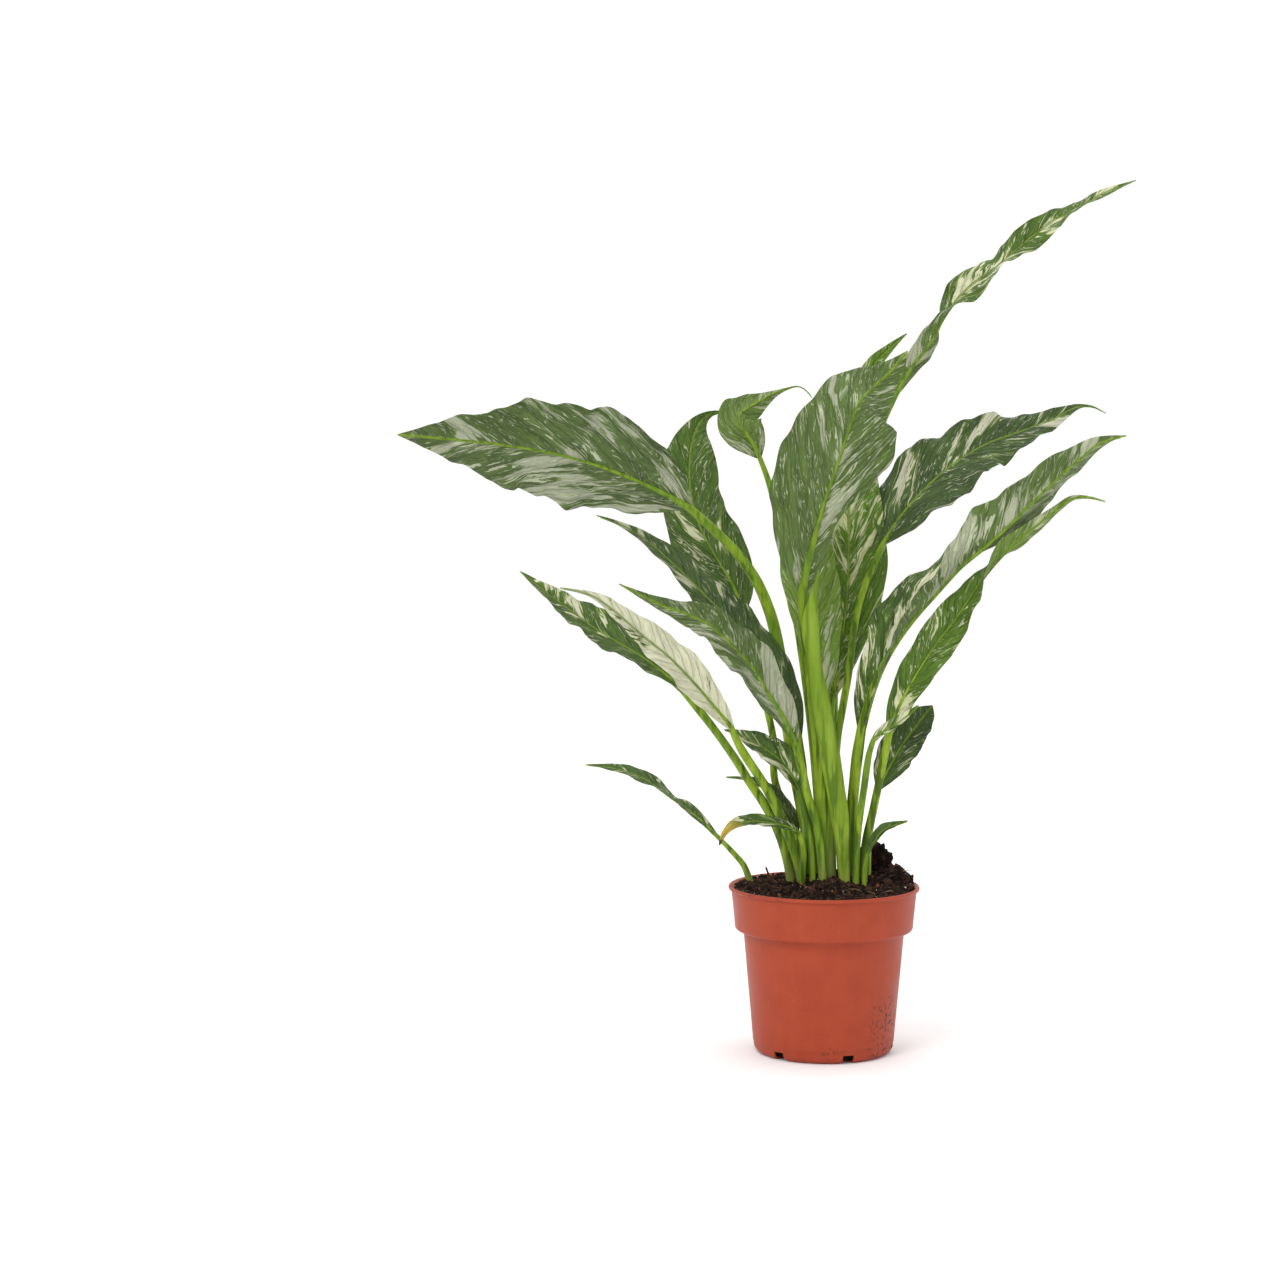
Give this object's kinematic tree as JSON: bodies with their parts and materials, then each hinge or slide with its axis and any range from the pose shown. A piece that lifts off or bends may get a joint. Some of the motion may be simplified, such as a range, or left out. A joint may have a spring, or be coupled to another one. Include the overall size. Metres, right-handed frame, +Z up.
{
  "type": "potted peace lily",
  "caption": "Variegated peace lily houseplant without flowers, in a round tapered terracotta-coloured plastic nursery pot filled with dark potting soil.",
  "frame": {"origin": "centre of the pot's underside, on the surface the pot stands on", "axes": "+Z up, along the pot's axis; -Y the front, the side the plant is looked at from; +X the plant's right as seen from the front"},
  "size_m": [0.4528, 0.237, 0.5542],
  "materials": {
    "pot_plastic": "satin",
    "leaf_green": "satin",
    "stem_green": "satin",
    "soil_peat": "matte",
    "bark_wood": "matte"
  },
  "bodies": {
    "root": {"pot": "pot_plastic", "big_left_stem": "stem_green", "big_left_leaf": "leaf_green", "tall_front_stem": "stem_green", "tall_front_leaf": "leaf_green", "upper_right_stem": "stem_green", "upper_right_leaf": "leaf_green", "long_right_stem": "stem_green", "long_right_leaf": "leaf_green", "low_right_stem": "stem_green", "low_right_leaf": "leaf_green", "back_centre_stem": "stem_green", "back_centre_leaf": "leaf_green", "back_left_stem": "stem_green", "back_left_leaf": "leaf_green", "tallest_stem": "stem_green", "tallest_leaf": "leaf_green", "short_right_stem": "stem_green", "short_right_leaf": "leaf_green", "pale_short_stem": "stem_green", "pale_short_leaf": "leaf_green", "tiny_right_stem": "stem_green", "tiny_right_leaf": "leaf_green", "low_left_stem": "stem_green", "low_left_leaf": "leaf_green", "yellow_tip_stem": "stem_green", "yellow_tip_leaf": "leaf_green", "mid_left_stem": "stem_green", "mid_left_leaf": "leaf_green", "cream_stem": "stem_green", "cream_leaf": "leaf_green", "front_left_stem": "stem_green", "front_left_leaf": "leaf_green", "dark_left_stem": "stem_green", "dark_left_leaf": "leaf_green", "arching_left_stem": "stem_green", "arching_left_leaf": "leaf_green", "curled_stem": "stem_green", "curled_leaf": "leaf_green", "short_left_stem": "stem_green", "short_left_leaf": "leaf_green", "thin_left_stem": "stem_green", "thin_left_leaf": "leaf_green", "new_shoot": "stem_green", "twig": "bark_wood", "peat_lump": "soil_peat", "bark_chip": "bark_wood", "soil": "soil_peat"}
  },
  "joints": []
}
